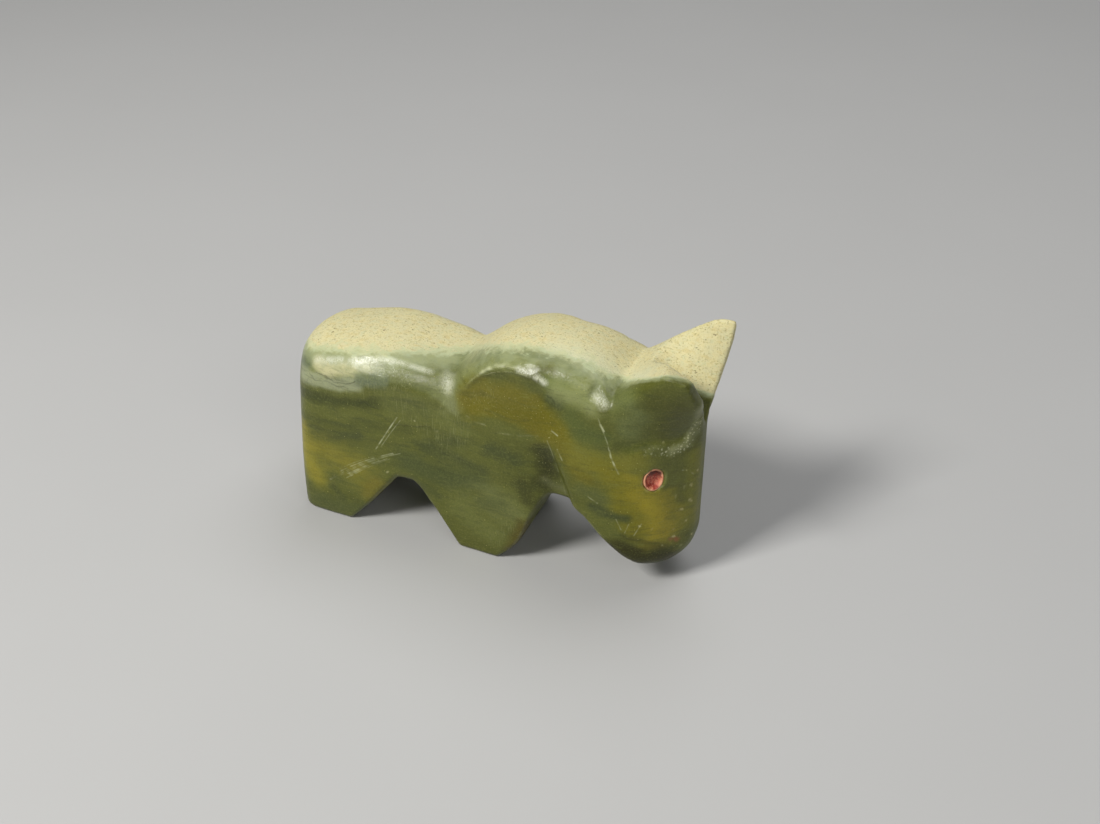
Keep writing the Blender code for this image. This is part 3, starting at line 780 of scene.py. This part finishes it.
# Patches: a line through each, its reach, its colour, its strength and how soft its edge is
PATCHES = [
    ([(-23.5, -6.8, 17.2), (-18.7, -7.4, 17.4), (-14, -7.4, 18.6), (-10, -7.3, 19.4), (-7, -6.9, 19.2)],
     1.3, (62, 68, 26), 0.85, 0.9),
    ([(-23, -7, 12.4), (-19, -7.3, 12.3), (-15.5, -7.4, 13.4)], 1, DARK_SLATE, 0.65, 0.9),
    ([(-16, -7.4, 15), (-9, -7.2, 15.8)], 1.2, DEEP, 0.5, 1),
    ([(-22, -7.3, 10), (-18.6, -7.4, 9.4), (-16.4, -7.4, 8.2)], 3.6, (130, 124, 38), 0.9, 1),
    ([(-11, -7.2, 19.4), (-7, -7, 19), (-3, -6.9, 17.8)], 2.6, LIGHT_GREEN, 0.7, 1),
    ([(-24.2, -6, 11.8), (-23.4, -6.8, 8.5), (-22, -7.2, 5.4)], 2.6, (144, 136, 40), 1, 1),
    ([(-15, -7.3, 4.8), (-13.6, -7.3, 7)], 1.8, (122, 112, 34), 0.7, 1),
    ([(-22, -7.3, 1.2), (-16, -7.3, 1.4)], 2.6, (84, 91, 48), 0.8, 1),
    ([(-20, -7.3, 4.6), (-18.6, -7.3, 3.2)], 1, DARK_SLATE, 0.5, 1),
    ([(-9.6, -7.2, 11.2), (-4.5, -6.9, 10), (0, -7, 11)], 2.5, SLATE, 0.9, 1),
    ([(-6.4, -6.8, 13.6), (0.2, -6.9, 12.8)], 1.5, DARK_SLATE, 0.55, 1),
    ([(1.4, -7.1, 16.2), (4.6, -7, 15.6)], 1.5, DARK_SLATE, 0.65, 1),
    ([(-8, -7.1, 14.6), (-3, -6.9, 15.6)], 0.8, DARK_SLATE, 0.45, 1),
    ([(-7.6, -7, 8), (-5.6, -7, 7.2)], 1.2, DARK_SLATE, 0.4, 1),
    ([(-2.4, -6.9, 6.4), (1, -7, 4)], 3.2, LIGHT_GREEN, 0.75, 1),
    ([(1.6, -7, 9), (4.4, -7, 7.6)], 3.6, (112, 117, 66), 0.8, 1),
    ([(0, -7, 8), (2.5, -7, 8.5)], 1.4, SLATE, 0.5, 1),
    ([(5.4, -6.9, 6), (3.8, -6.9, 2.2)], 1.6, BROWN, 0.9, 0.9),
    ([(-0.8, -6.7, 22), (3, -6.8, 23), (6.4, -6.7, 22.2), (8.4, -6.8, 20.4)], 3.1, OLIVE, 1, 0.7),
    ([(3, -6.8, 22.4), (6, -6.8, 22.2)], 2.4, (100, 95, 14), 0.7, 1),
    ([(9.6, -6.7, 20.6), (11.4, -6.9, 17.6), (12.8, -6.9, 15.4)], 2.3, OLIVE, 0.95, 0.8),
    ([(12.2, -6.9, 18.2), (15.4, -6.8, 17), (18.4, -6, 18.4)], 3.2, (122, 119, 38), 0.85, 1),
    ([(10.8, -6.5, 22.8), (12.8, -6.6, 21.4), (14.6, -6.6, 21.2)], 2.2, (84, 94, 42), 0.8, 1),
    ([(8.5, -6.4, 24.3), (9.4, -6.4, 24)], 1.3, DARK_SLATE, 0.8, 1),
    ([(8.2, -6, 26.2), (12, -5.6, 26.6), (15, -5.6, 26)], 1.6, (140, 147, 96), 0.8, 1),
    ([(8, -6.2, 26.4), (10.2, -6.2, 26.4)], 1.2, (88, 100, 44), 0.85, 1),
    ([(9.6, -6.3, 25.8), (11.4, -6.3, 25.5), (13.2, -6.3, 24.9)], 2.3, (146, 153, 100), 0.85, 1),
    ([(-2, -5.6, 25), (2, -5.9, 27.2), (6, -5.8, 27.8)], 1, (144, 150, 98), 0.8, 1),
    # painted shade in the throat's hollow under the jaw
    ([(7.7, -6.9, 17.4), (8.4, -6.5, 15), (8, -6.2, 12.4)], 1.7, PAINTED_SHADE, 0.85, 1),
    ([(8, -6, 13.4), (8.9, -5.8, 12.2), (10.2, -5.8, 11.6)], 0.9, (116, 118, 84), 0.6, 1),
    # painted shade on the chest where the front leg turns in under the throat
    ([(5.6, -6.9, 12.4), (6.4, -6.8, 10)], 1.8, PAINTED_SHADE, 0.6, 1),
    ([(16.2, -6.2, 26.6), (18.6, -5.9, 25.2), (17.6, -6, 22.6)], 3, (104, 112, 62), 0.95, 1),
    # the near ear's undercut outer face, darker: partly the stone's deep green, partly painted shade
    ([(20.6, -5.5, 26.6), (22.4, -5, 26.2), (21.4, -4.8, 23.4)], 2.9, (78, 81, 24), 1, 1),
    ([(24.7, -3.6, 27.4), (24.8, -3.6, 24.8), (24.3, -2.8, 22.6)], 0.8, (146, 150, 112), 0.75, 1),
    ([(21.7, -3.9, 19.6), (22.9, -2.8, 20), (23.5, -2.3, 21.4), (24.2, -2.6, 23)], 0.75, (160, 163, 122), 0.75, 0.9),
    ([(18.2, -6.1, 14), (20, -4.9, 12.4), (21, -4.2, 10.4), (20.6, -4.4, 8.2)], 3.6, GOLD, 0.95, 1),
    ([(15.6, -6.7, 17), (17.4, -6.4, 13), (18.4, -6.1, 9)], 2.4, (118, 112, 18), 0.8, 1),
    ([(23.9, -1.4, 18.5), (24, -1.4, 9)], 1.3, (134, 131, 38), 0.6, 1),
    ([(12.6, -6.9, 13.8), (15, -6.8, 12.8)], 1.7, (92, 99, 50), 0.7, 1),
    ([(13.8, -6.8, 11.4), (15.8, -6.7, 10.8), (17.8, -6.3, 10.7)], 0.9, DARK_SLATE, 0.85, 1),
    ([(16.4, -6.6, 20.4), (19.5, -5.4, 20.6)], 0.9, DEEP, 0.6, 0.9),
    # painted shade on the muzzle's underside and along its lower edge
    ([(16.8, -6.3, 6.2), (19.6, -5.2, 4.3), (21.6, -3.8, 4.3)], 2, (50, 49, 6), 1, 0.8),
    ([(17.2, -6.4, 8), (19.4, -5.7, 7.3), (21.4, -4.2, 6.2)], 0.8, (74, 72, 18), 0.6, 1),
    ([(-24.4, -5.6, 21), (-22.4, -6.5, 21.2)], 1.3, (104, 114, 88), 0.9, 0.8),
    ([(-22.6, -6.9, 19.7), (-19, -7.3, 19.7), (-15.4, -7.4, 20.7)], 1.3, MIST, 0.9, 0.7),
    ([(-20.6, -6.4, 21.7), (-18.2, -6.6, 21.7), (-16, -6.4, 22.4), (-13.4, -6.2, 22.9)],
     1.3, (202, 198, 154), 0.95, 0.8),
    ([(-14.4, -7.1, 21.6), (-11.8, -7, 22)], 1.3, (106, 116, 88), 0.9, 0.7),
    # painted highlight: a pale streak along the rump's upper edge
    ([(-12, -6, 23.2), (-8, -5, 23.6)], 1, (140, 148, 100), 0.6, 0.9),
    # the waist's hollow, paler: partly scratched stone, partly painted sheen where it turns to the light
    ([(-4.8, -6, 22.8), (-3.9, -6.6, 20.8)], 1.8, (134, 140, 94), 0.6, 1),
    ([(16.3, 3.1, 26.8), (16.6, 3.2, 26.9)], 0.7, (206, 186, 96), 0.6, 1),
    ([(19.7, 1.5, 28.4), (20, 1.6, 28.4)], 0.9, (208, 192, 112), 0.5, 1),
]
# Lower edge of the satin bevel along the rump and the waist; above it the stone is painted paler,
# partly its own pale band and partly painted sheen of the lit bevel
BEVEL_EDGE = [
    (-26, 18), (-22.5, 18.3), (-18.7, 19), (-14, 20.6), (-11.5, 21.4), (-9, 21.6), (-6.6, 21.2), (-5, 20.4),
    (-2.9, 19.1), (-1.6, 20), (-0.6, 24.5), (4, 27.6), (27, 40),
]


def towards(colour, shade, share):
    """The colours of points moved towards a shade by each point's share."""
    return colour + (np.array(shade) - colour) * share[:, None]


def paint(p):
    """Colour of the green stone at each point of the skin, patch after patch, in linear light."""
    warp = waves(p, 2.4, (31, 32, 33), (1, 1, 0.6)) + 0.4 * waves(p, 0.9, (34, 35, 36), (1, 1, 0.6))
    far = rise(p[:, 1], (0, 3))
    x, y, z = (p + 0.38 * warp * (1 + 1.8 * far[:, None])).T
    bent = np.stack([x + 2.4 * far, -np.abs(y), z - 0.9 * far], axis=1)
    ragged = noise(p, (2.2, 2.2, 1.0), 37) + 0.6 * noise(p, (0.9, 0.9, 0.45), 38)
    colour = towards(np.array(GREEN), DRIFT_GREEN, smooth(0.5 + noise(p, (9.0, 5.0, 3.5), 39)))
    # paler above the bevel's lower edge: partly the stone's pale band, partly painted sheen
    bevel = p[:, 2] - level(p[:, 0], BEVEL_EDGE) + 0.15 * ragged
    colour = towards(colour, PALE_BAND_SHEEN, 0.85 * rise(bevel, (0, 0.6)))
    for path, reach, shade, strength, soft in PATCHES:
        away = distance(bent, path, (1, 0.45, 1)) / reach
        colour = towards(colour, shade, strength * smooth((1.05 - away + 0.17 * ragged * (0.4 + away)) / soft))
    return linear(colour)


# Where the cream stone is greener, from the neck to the near ear
MINTY = [(8.0, -4.4, 28.2), (12.0, -4.0, 27.8), (15.0, -3.8, 27.4), (17.5, -4.4, 28.0)]

# Lower edge of the well polished part of the sides
POLISHED = [
    (-26, 17.5), (-12, 20), (-4, 18), (0, 21.5), (7.2, 22), (8.4, 30), (12.2, 30), (12.8, 22.5), (16, 24), (17, 30),
    (27, 30),
]

# Where the fine upright hatching of the last grinding shows, where streaks are strong, where the stone glitters
# and where pale painted highlights lie on the polished edges: a line through each area, its reach and its strength
AREAS = {
    "hatch": [
        ([(-22, -7, 19.5), (-15, -7.3, 21), (-9, -6.8, 22.5)], 2.6, 1),
        ([(-5, -6, 22.5), (-2.6, -6.8, 19), (-3, -6.9, 16)], 2.4, 1),
        ([(-9, -7.1, 19), (-4, -6.9, 15)], 3.6, 0.7),
        ([(0, -6.8, 22.5), (1.8, -6.9, 23.5)], 1.6, 0.7),
        ([(13, -5.9, 26.4), (14.6, -6.2, 25)], 1.4, 1),
        ([(2, -7, 3), (3.4, -7, 5)], 2, 0.6),
    ],
    "streaky": [
        ([(-8, -7.1, 13.5), (-3, -6.9, 13.2), (4, -7, 15.2)], 3.6, 1),
        ([(-20, -7.3, 13.5), (-12, -7.3, 16)], 3.2, 0.6),
    ],
    "sparkle": [
        ([(-1, -6.7, 22.6), (3, -6.8, 23), (8, -6.8, 21.4)], 4.2, 1),
        ([(-3, -5.6, 24.6), (4, -5.6, 27.6), (11, -5.6, 26.6)], 2.4, 0.9),
        ([(7, -6.7, 16.6), (8.4, -6.2, 13.4), (10.4, -6.4, 12.6)], 2, 1.3),
        ([(21, -4, 12), (22.6, -2.8, 7)], 2.8, 0.7),
    ],
    # painted highlights: pale streaks on the polished edges where the lamp's glints fall
    "painted_highlight": [
        ([(-15, -6, 23.3), (-13, -5.6, 23.8), (-11, -5.5, 23.8)], 0.8, 0.55),
        ([(-11.6, -5.4, 23.8), (-9, -5.3, 23.7), (-6.6, -5.2, 23.4)], 0.6, 0.85),
        ([(-21, -6.2, 22.1), (-19.6, -6.2, 22.3), (-17, -6.2, 22.8), (-15, -6, 23.2)], 0.8, 0.8),
        ([(-4.6, -5.2, 23.5), (-3.9, -5.6, 22.2)], 1.4, 0.6),
        ([(13.6, -6, 26.2), (14.6, -6.2, 25.2)], 0.9, 0.9),
        ([(4.8, -6.2, 27.2), (6.4, -6.2, 27), (7.8, -6.3, 26.3)], 0.7, 0.9),
    ],
}


def surface_fields(p):
    """Shares of what the material draws only in places, at each point."""
    fields = {
        name: strongest(strength * both_sides(p, path, reach, 0.7) for path, reach, strength in areas)
        for name, areas in AREAS.items()
    }
    fields["rough"] = both_sides(p, CREASE_PATH, 1.3, 0.8) * level(p[:, 0], CREASE_SHARE)
    fields["minty"] = near_path(p, MINTY, 2.8, (1, 0.5, 1))
    fields["polish"] = rise(p[:, 2] - level(p[:, 0], POLISHED), (0, 1.5))
    return fields


# Materials

def linear(shade):
    """Colours given as 0 to 255 display values, in linear light and solid."""
    shade = np.clip(shade, 0, 255) / 255
    light = np.where(shade <= 0.04045, shade / 12.92, ((shade + 0.055) / 1.055) ** 2.4)
    return np.concatenate([light, np.ones((*light.shape[:-1], 1))], axis=-1)


class Shading:
    """Short calls for the nodes of one material."""

    def __init__(self, name):
        self.material = bpy.data.materials.new(name)
        self.material.use_nodes = True
        self.tree = self.material.node_tree

    def node(self, kind, inputs=(), **settings):
        made = self.tree.nodes.new(kind)
        for key, value in settings.items():
            setattr(made, key, value)
        for key, value in dict(inputs).items():
            self.put(made.inputs[key], value)
        return made

    def put(self, socket, value):
        if isinstance(value, bpy.types.NodeSocket):
            self.tree.links.new(value, socket)
        else:
            socket.default_value = value

    def finish(self, values):
        """The material, once the sockets of its shader have these values."""
        for key, value in values.items():
            self.put(self.tree.nodes["Principled BSDF"].inputs[key], value)
        return self.material

    def attribute(self, name, output="Fac"):
        return self.node("ShaderNodeAttribute", attribute_name=name).outputs[output]

    def times(self, value, factor, plus=0):
        """The value times a factor, plus another value."""
        return self.node("ShaderNodeMath", {0: value, 1: factor, 2: plus}, operation="MULTIPLY_ADD").outputs[0]

    def vector(self, operation, point, amounts):
        return self.node("ShaderNodeVectorMath", {0: point, 1: amounts}, operation=operation).outputs["Vector"]

    def millimetres(self):
        """The piece's own coordinates in millimetres."""
        return self.vector("MULTIPLY", self.node("ShaderNodeTexCoord").outputs["Object"], (1000, 1000, 1000))

    def rise(self, value, low, high, to_low=0, to_high=1):
        """A smooth step of the value from low to high."""
        steps = {"Value": value, "From Min": low, "From Max": high, "To Min": to_low, "To Max": to_high}
        return self.node("ShaderNodeMapRange", steps, interpolation_type="SMOOTHSTEP").outputs["Result"]

    def mix(self, factor, *colours):
        """A blend of two colours, each a socket or three display values."""
        made = self.node("ShaderNodeMix", {0: factor}, data_type="RGBA")
        for socket, colour in zip(made.inputs[6:8], colours):
            self.put(socket, linear(colour).tolist() if isinstance(colour, tuple) else colour)
        return made.outputs[2]

    def tint(self, colour, *layers):
        """A colour under layers: the field of each, where it sets in and is full, its strength and its colour."""
        for field, low, high, strength, shade in layers:
            colour = self.mix(self.rise(field, low, high, 0, strength), colour, shade)
        return colour

    def noise(self, point, scale, detail=2, rough=0.5, distort=0):
        """Noise of one scale, or of one for each axis."""
        if isinstance(scale, tuple):
            point, scale = self.vector("MULTIPLY", point, scale), 1
        inputs = {"Vector": point, "Scale": scale, "Detail": detail, "Roughness": rough, "Distortion": distort}
        return self.node("ShaderNodeTexNoise", inputs).outputs["Fac"]

    def cells(self, point, scale):
        return self.node("ShaderNodeTexVoronoi", {"Vector": point, "Scale": scale}).outputs["Distance"]

    def bump(self, height, depth, under=None):
        """The normal of a relief that deep in millimetres, over another normal if one is given."""
        made = self.node("ShaderNodeBump", {"Height": height, "Distance": depth * MM, "Strength": 1})
        if under is not None:
            self.put(made.inputs["Normal"], under)
        return made.outputs["Normal"]


# Marks on the skin: how strongly each is coloured, and its colour
MARK_SHADES = [
    ("crack", 0.8, (50, 54, 26)),
    ("scratch", 0.8, (196, 200, 158)),
    ("chip", 0.8, (196, 190, 132)),
    ("speck", 0.6, (232, 228, 172)),
    ("red", 0.7, (150, 88, 60)),
]


def stone_material():
    s = Shading("banded_green_stone")
    p = s.millimetres()
    hatch = s.attribute("hatch")
    rough = s.attribute("rough")
    ragged = s.noise(p, 0.9, 4, 0.62)
    unsure = s.times(ragged, 1, -0.5)
    streaks = s.noise(p, (0.16, 0.3, 0.95), 5, 0.62, 0.6)
    fine_streaks = s.noise(p, (0.45, 0.8, 2.6), 5, 0.65, 0.5)
    grain = s.noise(p, 5, 3, 0.65)
    lines = s.noise(p, (11, 8, 0.6), 2, 0.6)
    bundle = s.noise(p, (1.4, 1.4, 0.4), 2, 0.5)

    streak_share = s.times(s.attribute("streaky"), 0.42, 0.32)
    sparks = s.cells(s.vector("ADD", p, (3.1, 0.7, 5.3)), 1.1)
    dust = s.cells(s.vector("ADD", p, (0.4, 2.2, 1.3)), 2.3)
    green = s.tint(
        s.attribute("stone_colour", "Color"),
        (streaks, 0.5, 0.68, streak_share, (64, 72, 34)),
        (fine_streaks, 0.54, 0.7, s.times(streak_share, 0.9), (58, 66, 34)),
        (fine_streaks, 0.44, 0.3, 0.32, (122, 126, 62)),
        (grain, 0.48, 0.72, 0.22, (142, 144, 78)),
        (grain, 0.5, 0.28, 0.26, (52, 58, 22)),
        (lines, 0.5, 0.72, s.rise(bundle, 0.35, 0.6, 0, s.times(hatch, 0.5)), (170, 174, 120)),
        (sparks, 0.07, 0.04, 0.5, (200, 194, 114)),
        (dust, 0.16, 0.07, s.times(s.attribute("sparkle"), 0.45), (186, 184, 124)),
    )

    tan = s.noise(p, (1.1, 1.6, 1.6), 4, 0.65)
    pale_green = s.tint(
        (166, 172, 126),
        (ragged, 0.35, 0.65, 1, (150, 158, 118)),
        (streaks, 0.46, 0.62, 0.5, (116, 126, 84)),
    )
    pale_top = s.tint((204, 205, 160), (ragged, 0.35, 0.65, 1, (180, 189, 148)))
    cream = s.tint(
        (218, 209, 160),
        (ragged, 0.36, 0.62, 1, (212, 206, 162)),
        (tan, 0.5, 0.68, 0.6, (204, 189, 132)),
        (tan, 0.46, 0.32, 0.5, (196, 200, 160)),
        (grain, 0.55, 0.3, 0.25, (190, 180, 128)),
        (grain, 0.55, 0.72, 0.25, (236, 230, 192)),
        (s.noise(p, (3.6, 5.2, 5.2), 2, 0.55), 0.56, 0.68, 0.6, (160, 150, 100)),
        (s.noise(p, (2.2, 3.4, 3.4), 3, 0.55), 0.635, 0.7, 0.8, (122, 112, 74)),
    )
    cream = s.mix(s.times(s.attribute("minty"), 0.6), cream, (208, 214, 182))

    edge = s.times(s.times(fine_streaks, 1, -0.5), 1.6, s.times(unsure, 2.2, s.attribute("layer")))
    colour = s.tint(
        green,
        (edge, -2.4, -1, 0.75, pale_green),
        (edge, -1, -0.2, 1, pale_top),
        (edge, -0.3, 0.35, 1, cream),
    )
    # Painted highlights: pale streaks along the polished edges of the rump, waist, shoulder and neck
    painted_highlight = s.rise(s.times(unsure, 0.8, lines), 0.34, 0.58, 0.25, 0.85)
    colour = s.mix(s.times(s.attribute("painted_highlight"), painted_highlight), colour, (224, 226, 202))
    pecks = s.times(s.noise(p, 3.4, 3, 0.7), -0.9, s.cells(p, 2.9))
    colour = s.tint(
        colour,
        (rough, 0.1, 0.8, 0.35, (108, 112, 78)),
        (pecks, -0.06, -0.26, s.rise(rough, 0.15, 0.7, 0, 0.7), (192, 194, 154)),
        # paler on convex edges, by how far each point stands out from its neighbours
        (s.times(unsure, 0.6, s.attribute("edge_paling")), 0.3, 0.9, 0.35, (176, 178, 130)),
    )
    for name, strength, shade in MARK_SHADES:
        colour = s.mix(s.times(s.attribute(name), strength), colour, shade)

    is_cream = s.rise(edge, -0.8, 0.2)
    cut_in = s.rise(lines, 0.5, 0.75, 0, s.rise(bundle, 0.4, 0.65))
    roughness = s.times(is_cream, 0.24, 0.40)
    for field, share in ((cut_in, 0.16), (rough, 0.25), (s.attribute("scratch"), 0.2)):
        roughness = s.times(field, share, roughness)
    relief = s.bump(s.times(lines, s.times(hatch, 2.4, 0.8)), 0.022)
    relief = s.bump(s.noise(p, 1.6, 3, 0.55), 0.04, relief)
    relief = s.bump(s.times(s.noise(p, 5, 3, 0.6), s.times(is_cream, 1, rough)), 0.04, relief)
    coat = s.times(s.attribute("polish"), 0.24, 0.10)
    return s.finish({
        "Base Color": colour, "Roughness": roughness, "Normal": relief, "IOR": 1.5, "Specular IOR Level": 0.26,
        "Subsurface Weight": 0.15, "Subsurface Radius": (1, 0.95, 0.5), "Subsurface Scale": 0.9 * MM,
        "Coat Weight": s.times(coat, s.times(is_cream, -0.86, 1)), "Coat Roughness": 0.15, "Coat Normal": relief,
    })


def inlay_material():
    s = Shading("red_inlay")
    p = s.millimetres()
    patches = s.noise(p, 1.8, 3, 0.6)
    unsure = s.times(patches, 1, -0.5)
    colour = s.tint(
        (176, 70, 54),
        (patches, 0.42, 0.6, 1, (222, 128, 100)),
        # painted shadow cast by the hole's top wall, darkest at the top of the inlay
        (s.times(unsure, 1.2, s.attribute("painted_shadow_height")), -0.1, 0.5, 0.92, (70, 22, 18)),
        (s.times(unsure, 0.5, s.attribute("rim")), 0.78, 0.92, 0.9, (238, 172, 132)),
        (s.noise(p, 7, 2, 0.6), 0.58, 0.7, 0.5, (236, 190, 160)),
    )
    return s.finish({"Base Color": colour, "Roughness": 0.42, "Normal": s.bump(s.noise(p, 6, 3, 0.6), 0.06)})


# The inlay: its face is sunk in the middle and higher at the rim, and it ends above the floor of its hole
INLAY_RINGS = 22
INLAY_TURNS = 72
INLAY_GAP = 0.03
INLAY_SINK = -0.7
INLAY_EDGE = (-0.45, -0.9)
INLAY_FLOOR = 0.3 - EYE_HOLE_DEPTH


def make_eye(name, side):
    """A turned inlay that fills its drilled hole, with a dished and pitted face."""
    outer = EYE_RADIUS - INLAY_GAP
    angles = np.arange(INLAY_TURNS) * 2 * math.pi / INLAY_TURNS
    shares = np.arange(1, INLAY_RINGS + 1) / INLAY_RINGS
    profile = list(zip(outer * shares, INLAY_SINK + 0.5 * rise(shares, (0.45, 0.95))))
    profile += [(outer, z) for z in (*INLAY_EDGE, INLAY_FLOOR)]
    points = [(0, 0, INLAY_SINK)]
    for r, z in profile:
        points += [(r * math.cos(a), r * math.sin(a), z) for a in angles]
    points = np.array(points + [(0, 0, INLAY_FLOOR)])
    reach = np.linalg.norm(points[:, :2], axis=1) / outer
    face = (points[:, 2] > INLAY_SINK - 0.05) & (reach < 0.97)
    pits = 0.08 * noise(points, 0.55, 21 + side) + 0.04 * noise(points, 0.25, 24 + side)
    points[:, 2] += np.where(face, pits, 0)
    faces = []
    last = len(points) - 1
    for k in range(INLAY_TURNS):
        a, b = 1 + k, 1 + (k + 1) % INLAY_TURNS
        faces.append((0, a, b))
        for start in range(0, (len(profile) - 1) * INLAY_TURNS, INLAY_TURNS):
            faces.append((start + a, start + a + INLAY_TURNS, start + b + INLAY_TURNS, start + b))
        faces.append((last - INLAY_TURNS + b - 1, last - INLAY_TURNS + a - 1, last))
    place_in = np.array(eye_frame(side))
    world = (points * (*EYE_OVAL, 1)) @ place_in[:3, :3].T + place_in[:3, 3]
    mesh = bpy.data.meshes.new(name)
    mesh.from_pydata((world * MM).tolist(), [], faces)
    # the rim share, and the height on the face that the painted shadow follows
    add_fields(mesh, {"rim": np.clip(reach, 0, 1), "painted_shadow_height": points[:, 1] / outer})
    mesh.shade_smooth()
    return new_object(name, mesh)


skin = make_skin()
skin.data.materials.clear()
skin.data.materials.append(stone_material())
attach(skin, "root")
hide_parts("stone_body")

red = inlay_material()
for side, word in ((-1, "right"), (1, "left")):
    eye = make_eye(f"inlay_{word}", side)
    eye.data.materials.append(red)
    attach(eye, "root")
    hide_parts(f"eye_inlay_{word}")


# Floor, light and camera, in metres
FLOOR_RADIUS = 1.5
MIDDLE = (0, 0, 0.015)

# Lamps, all turned to the middle: name, place, size, power and colour
LIGHTS = [
    ("key", (-0.157, -0.27, 0.34), (0.11, 0.11), 1.75, (1, 0.985, 0.95)),
    ("top", (0.05, 0.18, 0.45), (0.35, 0.3), 0.8, (1, 1, 1)),
    ("front", (0.26, -0.22, 0.24), (0.22, 0.22), 0.25, (1, 1, 1)),
]


def make_floor():
    bm = bmesh.new()
    bmesh.ops.create_circle(bm, cap_ends=True, segments=96, radius=FLOOR_RADIUS)
    floor = object_from("floor", bm)
    s = Shading("pale_floor")
    tone = s.mix(s.noise(s.millimetres(), 0.03), (187.5, 187.5, 186.7), (190.8, 190.8, 190.0))
    floor.data.materials.append(s.finish({"Base Color": tone, "Roughness": 0.9}))


def add_area(name, place_at, size, power, colour):
    data = bpy.data.lights.new(name, "AREA")
    data.shape = "RECTANGLE"
    data.size, data.size_y = size
    data.energy = power
    data.color = colour
    lamp = new_object(name, data)
    lamp.location = place_at
    lamp.rotation_euler = (Vector(place_at) - Vector(MIDDLE)).to_track_quat("Z", "Y").to_euler()


make_floor()
for light in LIGHTS:
    add_area(*light)
world = bpy.data.worlds.new("studio")
world.use_nodes = True
world.node_tree.nodes["Background"].inputs["Color"].default_value = (0.9, 0.92, 0.95, 1)
world.node_tree.nodes["Background"].inputs["Strength"].default_value = 0.09
bpy.context.scene.world = world

camera_data = bpy.data.cameras.new("camera")
camera_data.sensor_width = 36.0
camera_data.lens = 45.82
camera_data.clip_start = 0.005
camera = new_object("camera", camera_data)
camera.matrix_world = Matrix((
    (0.9205, -0.2241, 0.3201, 0.0572),
    (0.3907, 0.528, -0.754, -0.1211),
    (0, 0.8192, 0.5736, 0.11),
    (0, 0, 0, 1),
))
bpy.context.scene.camera = camera
bpy.context.scene.view_settings.view_transform = "Standard"
bpy.context.scene.view_settings.look = "None"
